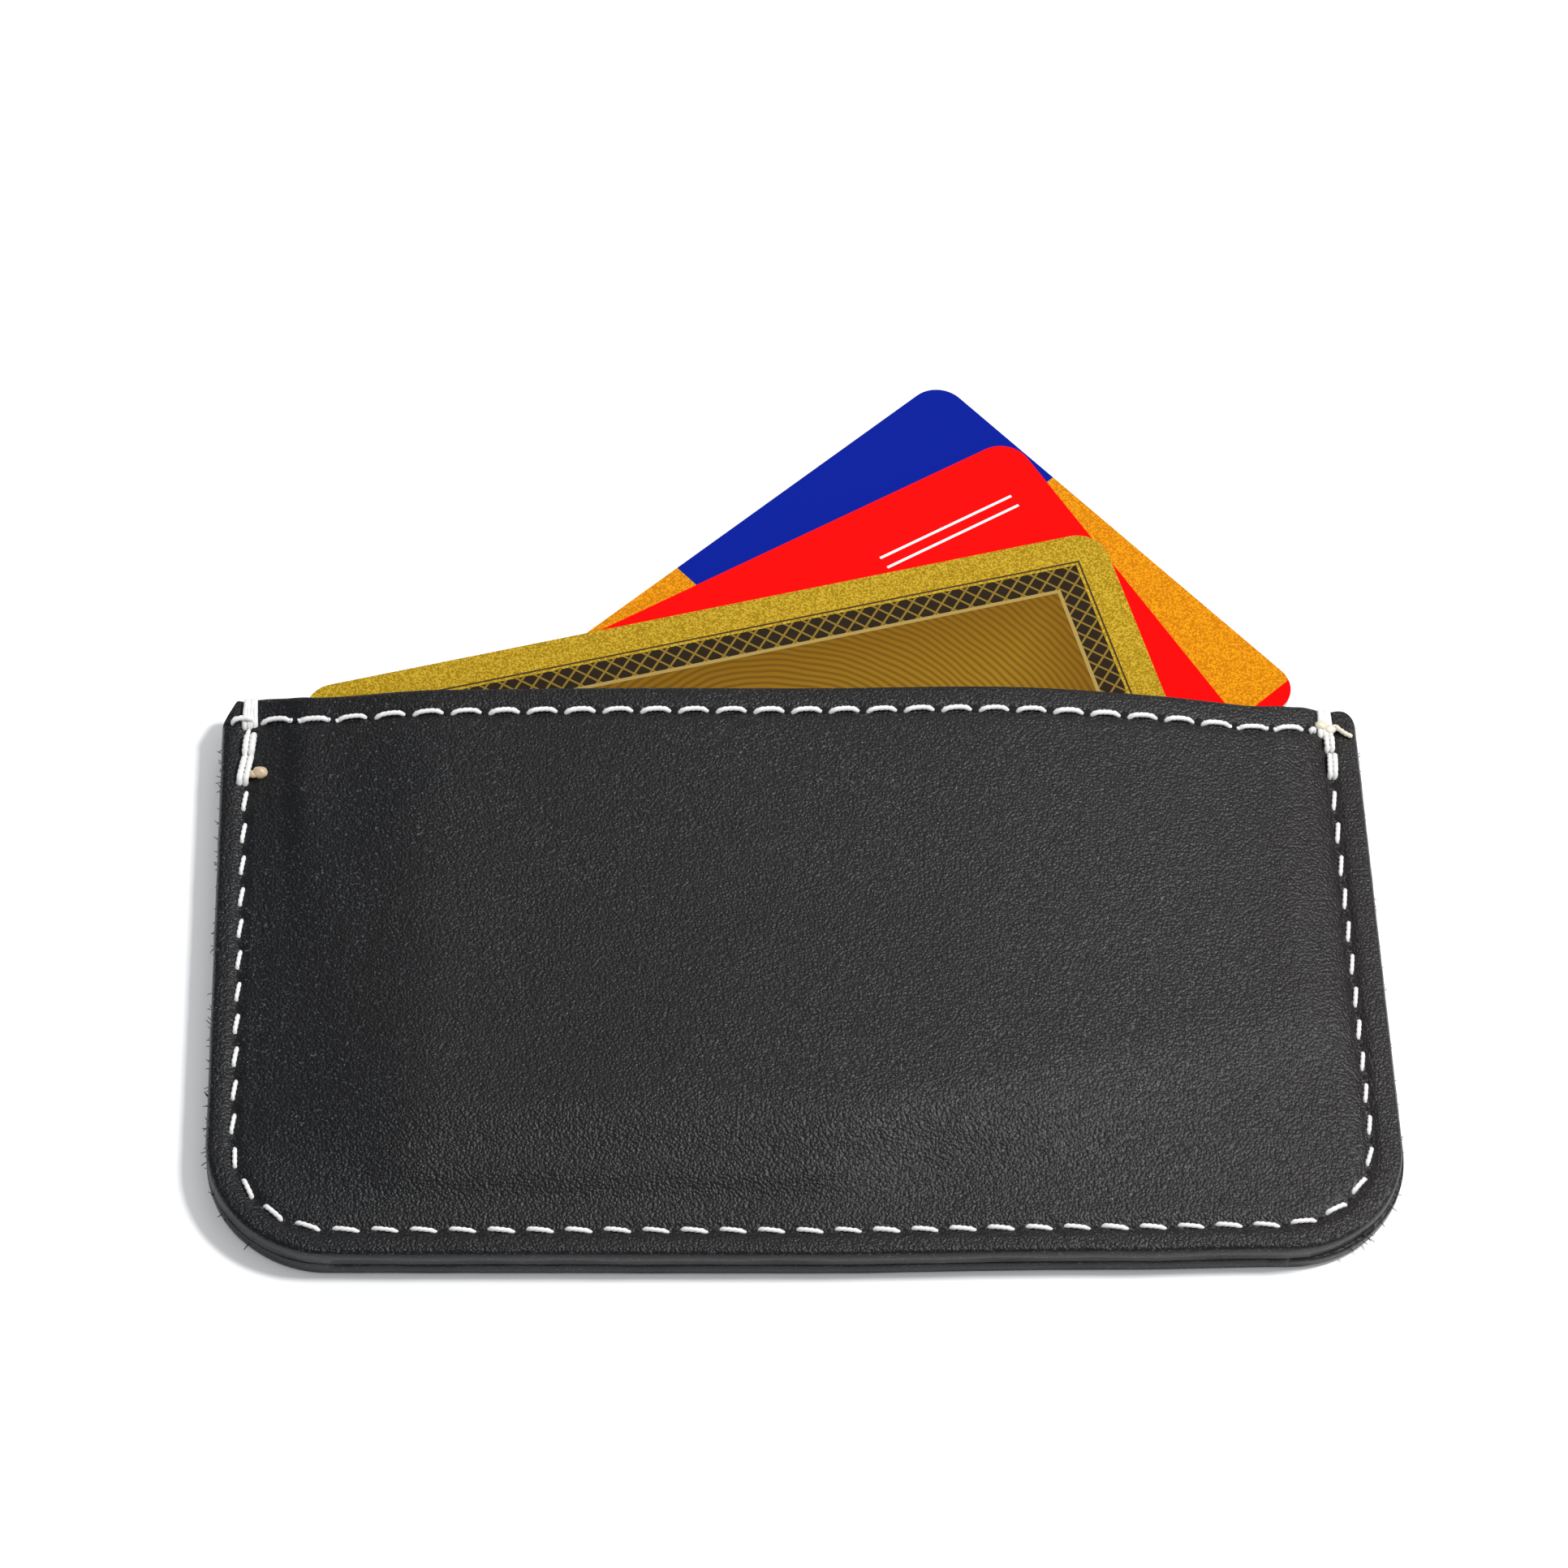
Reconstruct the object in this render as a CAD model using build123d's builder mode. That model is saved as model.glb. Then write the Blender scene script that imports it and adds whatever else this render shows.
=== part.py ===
from build123d import *
from math import atan2, cos, degrees, radians, sin, tan
import os

os.makedirs("parts", exist_ok=True)

# A leather sleeve for cards: two panels sewn round three sides with white thread, open along the
# fourth, with three fanned plastic cards in it.  The back face lies on z = 0, +Y points out of the
# mouth and +Z out of the front panel.

# ---------------------------------------------------------------- cards
card_width = 85.60  # long edge of a bank card
card_height = 53.98  # short edge
card_corner = 3.18  # corner radius
core_thickness = 0.60  # white core sheet
film_thickness = 0.08  # printed film on each face
stripe_width = 12.7  # magnetic stripe on the back
stripe_inset = 4.0  # from the card's upper long edge to the stripe
signature_length = 62.0
signature_height = 9.5
signature_drop = 3.0  # from the stripe to the signature panel
signature_shift = 7.0  # signature panel's centre from the card's centre

# name, level in the stack from the back, centre's x, turn in degrees, and the free way between the
# card's lowest corner and the pocket's sloping foot
cards = [
    ("rear_card", 0, 3.07, 41.87, 5.76),
    ("middle_card", 1, 1.10, 30.60, 3.19),
    ("front_card", 2, -1.89, 14.63, 4.61),
]
card_gap = 0.06  # between neighbouring cards
leather_clearance = 0.10  # between an outer card and the leather over it
side_clearance = 0.30  # between a card's side corner and the sloping leather

# ---------------------------------------------------------------- leather
leather = 2.15  # thickness of each panel
panel_height = 62.8  # bottom edge to mouth edge
bottom_corner = 12.0  # radius of the two bottom corners
left_mouth_clip = 1.6  # clipped corner at the left end of the mouth
right_mouth_round = 2.4  # rounded corner at the right end of the mouth
slope_run = 4.5  # width of the sloping band between the sewn rim and the raised pocket
ridge_radius = 5.0  # outer bend where the slope meets the raised pocket
valley_radius = 2.0  # outer bend where the slope meets the sewn rim

# ---------------------------------------------------------------- sewing
left_seam_inset = 2.5  # seam line from the cut edge, on each side
right_seam_inset = 3.1
bottom_seam_inset = 2.7
seam_to_pocket = 0.6  # from the innermost seam line to the pocket's foot
seam_pitch = 3.84
seam_thread = 0.56  # thread diameter in the seam
mouth_thread = 0.68  # thread diameter in the decorative rows along the mouth
mouth_row_inset = 2.9  # row of stitches from the mouth edge
hole_clearance = 0.03  # round each thread in its hole
lay_clearance = 0.04  # between strands, and beside a thread in its groove
front_groove = 0.25  # depth of the seam groove in the front face
seam_leg_spacing = 0.76  # between the two legs that meet in a hole of the seam
row_leg_spacing = 1.10  # between the two legs that meet in a hole of a mouth row
wrap_reach = 3.0  # from the mouth edge to the hole of the wraps over it
backstitches = 2  # doubled stitches at each end of the seam
bead_size = 1.8  # melted thread end
tail_length = 2.2  # thread tail beside the right-hand bead

# ---------------------------------------------------------------- worked out
card_thickness = core_thickness + 2 * film_thickness
stack_height = len(cards) * card_thickness + (len(cards) - 1) * card_gap
pocket_height = stack_height + 2 * leather_clearance
slope_angle = degrees(atan2(pocket_height, slope_run))
bend_shift = leather * tan(radians(slope_angle / 2))  # how far the outer bends lie outside the inner


def card_base(level):
    """Height of a card's back face above the inner face of the back panel."""
    return leather_clearance + level * (card_thickness + card_gap)


def slope_at(level):
    """How far the sloping leather leans in over the top face of a card at this level."""
    return slope_run * (card_base(level) + card_thickness) / pocket_height


def half_extent(turn, long_share, short_share):
    """Half extent of a turned card with round corners, along one axis."""
    long_half = card_width / 2 - card_corner
    short_half = card_height / 2 - card_corner
    return long_half * long_share(radians(turn)) + short_half * short_share(radians(turn)) + card_corner


rim = max(left_seam_inset, right_seam_inset, bottom_seam_inset) + seam_to_pocket
pocket_half_width = max(
    abs(x) + half_extent(turn, cos, sin) + side_clearance + slope_at(level) for _, level, x, turn, _ in cards
)
panel_width = 2 * (pocket_half_width + rim)
mouth_y = panel_height / 2
bottom_y = -panel_height / 2
pocket_foot_y = bottom_y + rim
front_z = 2 * leather  # outer face of the sewn rim
crown_z = front_z + pocket_height  # outer face of the raised pocket
inner_ridge_x = pocket_half_width - slope_run  # inner ridge of the raised pocket
ridge_x = inner_ridge_x + bend_shift  # outer ridge
ridge_sag = (ridge_radius - leather) * (1 / cos(radians(slope_angle / 2)) - 1)  # the bend cuts its corner
mouth_row_y = mouth_y - mouth_row_inset
left_seam_x = -panel_width / 2 + left_seam_inset
right_seam_x = panel_width / 2 - right_seam_inset
seam_corner = bottom_corner - bottom_seam_inset
stitch_bow = seam_pitch**2 / (8 * seam_corner)  # how far a straight stitch leaves the line in a corner
seam_groove_width = seam_thread + 2 * (lay_clearance + stitch_bow)
row_groove_width = mouth_thread + 4 * lay_clearance
back_groove = seam_thread + lay_clearance  # deep enough to hold the whole thread
mouth_groove = mouth_thread + lay_clearance
strand_pitch = seam_thread + lay_clearance
overrun = 2 * leather  # how far cutting shapes run past the solid they cut
print(f"panel {panel_width:.2f} x {panel_height:.2f}, pocket height {pocket_height:.2f}, slope {slope_angle:.1f}")


# ---------------------------------------------------------------- sketches
def panel_outline():
    """Cut outline of both panels."""
    with BuildSketch() as face:
        Rectangle(panel_width, panel_height)
        fillet(face.vertices().group_by(Axis.Y)[0], bottom_corner)
        chamfer(face.vertices().group_by(Axis.Y)[-1].sort_by(Axis.X)[0], left_mouth_clip)
        fillet(face.vertices().group_by(Axis.Y)[-1].sort_by(Axis.X)[-1], right_mouth_round)
    return face.sketch


def pocket_contour(inset):
    """A line at this distance inside the cut edge on three sides, running out past the mouth."""
    corner = max(bottom_corner - inset, card_corner / 2)
    with BuildSketch() as face:
        with Locations((0, (inset + overrun) / 2)):
            Rectangle(panel_width - 2 * inset, panel_height - inset + overrun)
        fillet(face.vertices().group_by(Axis.Y)[0], corner)
    return face.sketch


def seam_line():
    """Line of the seam: down the left side, along the bottom and up the right side."""
    end_y = mouth_y - wrap_reach - 2 * seam_thread
    foot_y = bottom_y + bottom_seam_inset
    left, right = left_seam_x, right_seam_x
    with BuildLine() as line:
        FilletPolyline((left, end_y), (left, foot_y), (right, foot_y), (right, end_y), radius=seam_corner)
    return line.wire()


# ---------------------------------------------------------------- stitches
def seat(start, end, up):
    """Location of a stitch that lies from start to end on a surface whose outward normal is up."""
    start, end = Vector(*start), Vector(*end)
    along = (end - start).normalized()
    across = Vector(*up).cross(along)
    return Plane(origin=(start + end) * 0.5, x_dir=along, z_dir=along.cross(across)).location


def stitch(diameter, run, leg):
    """One stitch along X on the plane z = 0, whose legs go down into the holes at its ends."""
    height = diameter / 2
    with BuildPart() as body:
        with BuildLine(Plane.XZ) as path:
            FilletPolyline(
                (-run / 2, -leg), (-run / 2, height), (run / 2, height), (run / 2, -leg), radius=1.25 * height
            )
        with BuildSketch(Plane(origin=path.line @ 0, z_dir=path.line % 0)):
            Circle(diameter / 2)
        sweep()
    return body.part


def stitch_holes(diameter, run, depth):
    """Cutting shape for the two holes of one stitch."""
    with BuildPart() as body:
        with Locations((-run / 2, 0, -depth / 2), (run / 2, 0, -depth / 2)):
            Cylinder(diameter / 2 + hole_clearance, depth)
    return body.part


def seam_seats(z, up):
    """Locations of the seam's stitches at this height."""
    line = seam_line()
    count = round(line.length / seam_pitch)
    points = [line.position_at(step / count) for step in range(count + 1)]
    return [seat((a.X, a.Y, z), (b.X, b.Y, z), (0, 0, up)) for a, b in zip(points, points[1:])]


def row_seats(half_length, z, fall, up):
    """Locations of a mouth row: level stitches, and one down each slope where fall is not 0."""
    count = round(2 * ridge_x / seam_pitch)
    step = 2 * half_length / count
    marks = [(-half_length + i * step, mouth_row_y, z) for i in range(count + 1)]
    if fall:
        over = half_length + step * cos(radians(fall))
        under = z - step * sin(radians(fall))
        marks = [(-over, mouth_row_y, under)] + marks + [(over, mouth_row_y, under)]
    return [seat(a, b, (0, 0, up)) for a, b in zip(marks, marks[1:])]


def tack_seats(side, z):
    """Locations of the doubled stitches beside the seam's first ones, on one side."""
    line_seats = seam_seats(z, 1)
    chosen = line_seats[:backstitches] if side < 0 else line_seats[-backstitches:]
    return [Pos(side * strand_pitch, 0, 0) * place for place in chosen]


line_pitch = seam_line().length / round(seam_line().length / seam_pitch)
seam_run = line_pitch - seam_leg_spacing
row_run = 2 * inner_ridge_x / round(2 * ridge_x / seam_pitch) - row_leg_spacing
front_seam_leg = leather - front_groove - lay_clearance / 2
back_seam_leg = leather - back_groove - lay_clearance / 2
front_row_leg = (leather - mouth_groove - lay_clearance) / 2
back_row_leg = leather / 2 - mouth_groove - lay_clearance / 2

front_seam_seats = seam_seats(front_z - front_groove, 1)
back_seam_seats = seam_seats(back_groove, -1)
front_row_outside = row_seats(ridge_x, crown_z, slope_angle, 1)
front_row_inside = row_seats(inner_ridge_x, leather + pocket_height + mouth_groove, slope_angle, -1)
back_row_outside = row_seats(ridge_x, mouth_groove, 0, -1)
back_row_inside = row_seats(ridge_x, leather - mouth_groove, 0, 1)
left_tack_seats = tack_seats(-1, front_z - front_groove)
right_tack_seats = tack_seats(1, front_z - front_groove)


# ---------------------------------------------------------------- cutting shapes of the panels
def dome(base_z, shift):
    """Space under the raised pocket; shift moves its bends outwards, for the leather's outer face."""
    ridge = ridge_radius if shift else ridge_radius - leather
    with BuildPart() as body:
        with BuildSketch(Plane.XY.offset(base_z)):
            add(pocket_contour(rim - shift))
        with BuildSketch(Plane.XY.offset(base_z + pocket_height)):
            add(pocket_contour(rim + slope_run - shift))
        loft(ruled=True)
        crown_edges = body.faces().sort_by(Axis.Z)[-1].edges()
        fillet(crown_edges.filter_by(lambda edge: edge.center().Y < mouth_y + overrun / 2), ridge)
    return body.part


def seam_band(z, height):
    """Groove along the seam, from the height z, running out at both ends to the mouth."""
    with BuildPart() as body:
        with BuildSketch(Plane.XY.offset(z)):
            with BuildLine():
                add(seam_line())
            trace(line_width=seam_groove_width)
            reach = mouth_y + overrun - seam_line().position_at(0).Y
            for x, side in ((left_seam_x, -1), (right_seam_x, 1)):
                wide = 2 * strand_pitch + lay_clearance
                tack = backstitches * line_pitch
                with Locations((x + side * strand_pitch / 2, mouth_y + overrun - (reach + tack) / 2)):
                    Rectangle(wide + hole_clearance, reach + tack)
        extrude(amount=height)
    return body.part


def row_band(z, height):
    """Straight groove for a mouth row, from the height z."""
    with BuildPart() as body:
        with BuildSketch(Plane.XY.offset(z)):
            with Locations((0, mouth_row_y)):
                Rectangle(2 * ridge_x, row_groove_width)
        extrude(amount=height)
    return body.part


def wrap_hole(x):
    """Square hole through both panels for the inner legs of the wraps at this end of the mouth."""
    size = seam_thread + 2 * hole_clearance
    with BuildPart() as body:
        with BuildSketch():
            for strand in (0, 1):
                side = -1 if x < 0 else 1
                with Locations((x + side * strand * strand_pitch, mouth_y - wrap_reach - seam_thread / 2)):
                    Rectangle(size, size)
        extrude(amount=crown_z)
    return body.part


def inner_row_band():
    """Groove for the mouth row on the inside of the raised pocket, following its slopes."""
    reach = 2 * (inner_ridge_x + line_pitch * cos(radians(slope_angle)))
    with BuildPart() as body:
        with BuildSketch(Plane.XY.offset(leather)):
            add(pocket_contour(rim))
        extrude(amount=mouth_groove + ridge_sag)
        add(dome(leather + mouth_groove + ridge_sag, 0))
        with Locations((0, mouth_row_y, leather)):
            Box(reach, row_groove_width, 4 * pocket_height, mode=Mode.INTERSECT)
    return body.part


# ---------------------------------------------------------------- leather panels
with BuildPart() as back_panel:
    with BuildSketch():
        add(panel_outline())
    extrude(amount=leather)
    add(seam_band(-overrun, overrun + back_groove), mode=Mode.SUBTRACT)
    add(row_band(-overrun, overrun + mouth_groove), mode=Mode.SUBTRACT)
    add(row_band(leather - mouth_groove, overrun), mode=Mode.SUBTRACT)
    for x in (left_seam_x, right_seam_x):
        add(wrap_hole(x), mode=Mode.SUBTRACT)
    with Locations(*back_seam_seats):
        add(stitch_holes(seam_thread, seam_run, leather), mode=Mode.SUBTRACT)
    with Locations(*back_row_outside):
        add(stitch_holes(mouth_thread, row_run, leather), mode=Mode.SUBTRACT)
back_panel.part.label = "back_panel"
export_step(back_panel.part, "parts/back_panel.step")

with BuildPart() as front_panel:
    with BuildSketch(Plane.XY.offset(leather)):
        add(panel_outline())
    extrude(amount=leather)
    flat_edges = front_panel.edges()
    add(dome(front_z, bend_shift))
    with BuildSketch(Plane.XY.offset(leather)):
        add(panel_outline())
    extrude(amount=leather + pocket_height + overrun, mode=Mode.INTERSECT)
    rim_top = front_panel.edges().filter_by_position(Axis.Z, front_z, front_z)
    sewn_edge = panel_width / 2 - rim / 2
    valley = rim_top.filter_by(
        lambda edge: abs(edge.center().X) < sewn_edge and edge.center().Y > bottom_y + rim / 2
    ).filter_by(lambda edge: edge.center().Y < mouth_y - lay_clearance)
    valley = valley.filter_by(lambda edge: min(edge.distance_to(other) for other in flat_edges) > rim / 2)
    fillet(valley, valley_radius)
    add(dome(leather, 0), mode=Mode.SUBTRACT)
    add(seam_band(front_z - front_groove, overrun), mode=Mode.SUBTRACT)
    for x in (left_seam_x, right_seam_x):
        add(wrap_hole(x), mode=Mode.SUBTRACT)
    add(inner_row_band(), mode=Mode.SUBTRACT)
    with Locations(*front_seam_seats, *left_tack_seats, *right_tack_seats):
        add(stitch_holes(seam_thread, seam_run, front_seam_leg + lay_clearance), mode=Mode.SUBTRACT)
    with Locations(*front_row_outside):
        add(stitch_holes(mouth_thread, row_run, leather / 2), mode=Mode.SUBTRACT)
    with Locations(*front_row_inside):
        add(stitch_holes(mouth_thread, row_run, leather / 2), mode=Mode.SUBTRACT)
front_panel.part.label = "front_panel"
export_step(front_panel.part, "parts/front_panel.step")


# ---------------------------------------------------------------- thread
def sew(name, places, diameter, run, leg):
    """Write one node of separate stitches, one at each place."""
    with BuildPart() as thread:
        with Locations(*places):
            add(stitch(diameter, run, leg))
    thread.part.label = name
    export_step(thread.part, f"parts/{name}.step")


sew("seam_thread_front", front_seam_seats, seam_thread, seam_run, front_seam_leg)
sew("seam_thread_back", back_seam_seats, seam_thread, seam_run, back_seam_leg)
sew("left_backstitch", left_tack_seats, seam_thread, seam_run, front_seam_leg)
sew("right_backstitch", right_tack_seats, seam_thread, seam_run, front_seam_leg)
sew("front_mouth_thread_outside", front_row_outside, mouth_thread, row_run, front_row_leg)
sew("front_mouth_thread_inside", front_row_inside, mouth_thread, row_run, front_row_leg)
sew("back_mouth_thread_outside", back_row_outside, mouth_thread, row_run, back_row_leg)
sew("back_mouth_thread_inside", back_row_inside, mouth_thread, row_run, back_row_leg)


def edge_wrap(name, x, side):
    """Write the two loops of thread that go over the mouth edge of both panels at this end."""
    low = Vector(mouth_y - wrap_reach, back_groove)
    high = Vector(mouth_y + lay_clearance, front_z - front_groove + lay_clearance)
    centre = (low + high) * 0.5
    span = high - low
    with BuildPart() as wrap:
        for strand in (0, 1):
            strand_x = x + side * strand * strand_pitch
            with BuildSketch(Plane.YZ.offset(strand_x - seam_thread / 2)):
                with Locations((centre.X, centre.Y)):
                    RectangleRounded(span.X + 2 * seam_thread, span.Y + 2 * seam_thread, 0.8 * seam_thread)
                    Rectangle(span.X, span.Y, mode=Mode.SUBTRACT)
            extrude(amount=seam_thread)
    wrap.part.label = name
    export_step(wrap.part, f"parts/{name}.step")


edge_wrap("left_edge_wrap", left_seam_x, -1)
edge_wrap("right_edge_wrap", right_seam_x, 1)


def thread_end(name, x, y, tail):
    """Write a melted thread end: a bead that sits on the strands, with or without a tail beside it."""
    seat_z = front_z - front_groove + seam_thread + lay_clearance
    with BuildPart() as bead:
        with Locations((x, y, seat_z)):
            Cylinder(bead_size / 2, bead_size / 3, align=(Align.CENTER, Align.CENTER, Align.MIN))
        fillet(bead.edges().group_by(Axis.Z)[-1], bead_size / 4)
        if tail:
            root = Vector(x + strand_pitch, y, front_z + seam_thread / 2 + lay_clearance)
            with BuildSketch(Plane(origin=root, z_dir=(1, -0.5, 0))):
                Circle(seam_thread / 2)
            extrude(amount=tail)
    bead.part.label = name
    export_step(bead.part, f"parts/{name}.step")


tack_end_y = left_tack_seats[-1].position.Y - seam_run / 2 + bead_size / 2
thread_end("left_thread_end", left_seam_x - strand_pitch / 2, tack_end_y, 0)
thread_end("right_thread_end", right_seam_x + strand_pitch / 2, mouth_row_y + bead_size / 2, tail_length)


# ---------------------------------------------------------------- cards
for name, level, x, turn, foot_room in cards:
    half_height = half_extent(turn, sin, cos)
    centre_y = pocket_foot_y + slope_at(level) + foot_room + half_height
    back_z = leather + card_base(level)
    across = (cos(radians(turn)), sin(radians(turn)), 0)
    back_face = Plane(origin=(x, centre_y, back_z), x_dir=across, z_dir=(0, 0, 1))
    stripe_v = card_height / 2 - stripe_inset - stripe_width / 2
    signature_v = stripe_v - stripe_width / 2 - signature_drop - signature_height / 2

    with BuildPart() as core:
        with BuildSketch(back_face.offset(film_thickness)):
            RectangleRounded(card_width, card_height, card_corner)
        extrude(amount=core_thickness)
    core.part.label = name + "_core"
    export_step(core.part, f"parts/{name}_core.step")

    with BuildPart() as face_film:
        with BuildSketch(back_face.offset(film_thickness + core_thickness)):
            RectangleRounded(card_width, card_height, card_corner)
        extrude(amount=film_thickness)
    face_film.part.label = name + "_face_film"
    export_step(face_film.part, f"parts/{name}_face_film.step")

    with BuildPart() as stripe:
        with BuildSketch(back_face):
            with Locations((0, stripe_v)):
                Rectangle(card_width, stripe_width)
        extrude(amount=film_thickness)
    stripe.part.label = name + "_stripe"
    export_step(stripe.part, f"parts/{name}_stripe.step")

    with BuildPart() as signature:
        with BuildSketch(back_face):
            with Locations((signature_shift, signature_v)):
                Rectangle(signature_length, signature_height)
        extrude(amount=film_thickness)
    signature.part.label = name + "_signature"
    export_step(signature.part, f"parts/{name}_signature.step")

    with BuildPart() as back_film:
        with BuildSketch(back_face):
            RectangleRounded(card_width, card_height, card_corner)
        extrude(amount=film_thickness)
        add(stripe.part, mode=Mode.SUBTRACT)
        add(signature.part, mode=Mode.SUBTRACT)
    back_film.part.label = name + "_back_film"
    export_step(back_film.part, f"parts/{name}_back_film.step")
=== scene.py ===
"""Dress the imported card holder: leather, twisted thread and printed cards."""

import logging
import math
import random
from dataclasses import dataclass
from enum import Enum
from typing import Callable

import bmesh
import bpy
from mathutils import Matrix, Vector


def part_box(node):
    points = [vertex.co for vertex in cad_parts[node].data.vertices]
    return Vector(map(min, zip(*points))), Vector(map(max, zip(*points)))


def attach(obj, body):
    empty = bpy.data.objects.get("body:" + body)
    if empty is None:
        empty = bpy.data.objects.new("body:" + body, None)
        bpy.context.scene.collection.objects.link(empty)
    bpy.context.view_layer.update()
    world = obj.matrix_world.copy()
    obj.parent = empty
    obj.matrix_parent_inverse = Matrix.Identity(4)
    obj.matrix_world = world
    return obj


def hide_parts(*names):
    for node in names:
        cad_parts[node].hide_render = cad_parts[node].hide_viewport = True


Mesh = bmesh.types.BMesh
Socket = bpy.types.NodeSocket

LOG = logging.getLogger("card_holder")
MM = 0.001
SLEEVE = "sleeve"

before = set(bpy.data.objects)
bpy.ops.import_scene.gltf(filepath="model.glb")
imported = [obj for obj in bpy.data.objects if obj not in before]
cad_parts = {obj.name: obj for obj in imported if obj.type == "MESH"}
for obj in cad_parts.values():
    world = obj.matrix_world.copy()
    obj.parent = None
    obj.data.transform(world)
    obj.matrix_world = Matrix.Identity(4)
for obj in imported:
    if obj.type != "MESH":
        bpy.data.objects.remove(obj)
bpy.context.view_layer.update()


class Side(Enum):
    """An end of the mouth, by the sign of its X."""

    LEFT = -1
    RIGHT = 1


def smooth(value: float) -> float:
    """Return a smooth step of a value, flat below 0 and above 1."""
    value = min(max(value, 0.0), 1.0)
    return value * value * (3.0 - 2.0 * value)


@dataclass(frozen=True)
class Rise:
    """A smooth rise along X: its height, where it starts, and its width (below 0 for a fall)."""

    height: float
    start: float
    width: float

    def at(self, x: float) -> float:
        """Return the height at a place."""
        return self.height * smooth((x - self.start) / self.width)


def link(piece_mesh: Mesh, name: str, finish: bpy.types.Material) -> bpy.types.Object:
    """Turn a bmesh in millimetres into an object at the origin.

    Args:
        piece_mesh: The finished bmesh, which is freed.
        name: The piece's name.
        finish: Its material.

    Returns:
        The new object, in metres.
    """
    bmesh.ops.scale(piece_mesh, vec=(MM, MM, MM), verts=piece_mesh.verts)
    bmesh.ops.recalc_face_normals(piece_mesh, faces=piece_mesh.faces)
    mesh = bpy.data.meshes.new(name)
    piece_mesh.to_mesh(mesh)
    piece_mesh.free()
    for polygon in mesh.polygons:
        polygon.use_smooth = True
    mesh.materials.append(finish)
    piece = bpy.data.objects.new(name, mesh)
    bpy.context.scene.collection.objects.link(piece)
    LOG.info("%s: %d faces", name, len(mesh.polygons))
    return piece


def box_mm(node: str) -> tuple[Vector, Vector]:
    """Return a CAD node's low and high corners in millimetres."""
    low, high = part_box(node)
    return Vector(low) / MM, Vector(high) / MM


# ------------------------------------------------------------------ finishes
class Nodes:
    """A small helper that builds one node material."""

    def __init__(self, name: str) -> None:
        """Start a material with an empty Principled surface.

        Args:
            name: The material's name.
        """
        self.material = bpy.data.materials.new(name)
        self.material.use_nodes = True
        self.tree = self.material.node_tree
        self.surface = self.tree.nodes["Principled BSDF"]

    def add(self, kind: str, **settings: object) -> bpy.types.Node:
        """Add a node and set its properties.

        Args:
            kind: The node's Blender type.
            settings: Properties to set on it.

        Returns:
            The new node.
        """
        node = self.tree.nodes.new(kind)
        for key, value in settings.items():
            setattr(node, key, value)
        return node

    def wire(self, source: object, target: object) -> None:
        """Connect an output to an input, or set the input's own value.

        Args:
            source: An output socket or a plain value.
            target: The input socket.
        """
        if isinstance(source, Socket):
            self.tree.links.new(source, target)
        else:
            target.default_value = source

    def math(self, operation: str, first: object, second: object = 0.0) -> Socket:
        """Return the result of a math node.

        Args:
            operation: The node's operation.
            first: A socket or a number.
            second: A socket or a number.

        Returns:
            The output of the last node.
        """
        node = self.add("ShaderNodeMath", operation=operation)
        self.wire(first, node.inputs[0])
        self.wire(second, node.inputs[1])
        return node.outputs[0]

    def times(self, first: object, second: object) -> Socket:
        """Return the product of two sockets or numbers."""
        return self.math("MULTIPLY", first, second)

    def mix(self, factor: object, first: object, second: object) -> Socket:
        """Return a mix of two colours.

        Args:
            factor: Share of the second colour.
            first: A socket or a colour.
            second: A socket or a colour.

        Returns:
            The mixed colour.
        """
        node = self.add("ShaderNodeMix", data_type="RGBA")
        self.wire(factor, node.inputs["Factor"])
        self.wire(first, node.inputs["A"])
        self.wire(second, node.inputs["B"])
        return node.outputs["Result"]

    def noise(self, place: object, scale: float, detail: float = 2.0) -> Socket:
        """Return noise of a scale.

        Args:
            place: The coordinates.
            scale: Waves in one unit of them.
            detail: Number of finer layers.

        Returns:
            The noise, from 0 to 1.
        """
        node = self.add("ShaderNodeTexNoise")
        self.wire(place, node.inputs["Vector"])
        node.inputs["Scale"].default_value = scale
        node.inputs["Detail"].default_value = detail
        return node.outputs["Fac"]

    def ramp(self, factor: object, low: float, high: float) -> Socket:
        """Return a clamped rise from 0 at low to 1 at high.

        Args:
            factor: A socket.
            low: Where the rise begins.
            high: Where it ends.

        Returns:
            The rise, from 0 to 1.
        """
        node = self.add("ShaderNodeMapRange")
        self.wire(factor, node.inputs["Value"])
        node.inputs["From Min"].default_value = low
        node.inputs["From Max"].default_value = high
        return node.outputs["Result"]

    def bump(
        self, height: object, strength: float, distance: float, under: object = None
    ) -> Socket:
        """Return a normal bumped by a height.

        Args:
            height: A socket.
            strength: Share of the effect.
            distance: Depth in metres.
            under: A normal that this one is laid on.

        Returns:
            The normal.
        """
        node = self.add("ShaderNodeBump")
        node.inputs["Strength"].default_value = strength
        node.inputs["Distance"].default_value = distance
        self.wire(height, node.inputs["Height"])
        if under is not None:
            self.wire(under, node.inputs["Normal"])
        return node.outputs["Normal"]

    def put(self, name: str, value: object) -> None:
        """Give one of the surface's inputs a socket or a value."""
        self.wire(value, self.surface.inputs[name])

    def place(self) -> Socket:
        """Return object coordinates."""
        return self.add("ShaderNodeTexCoord").outputs["Object"]


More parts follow.
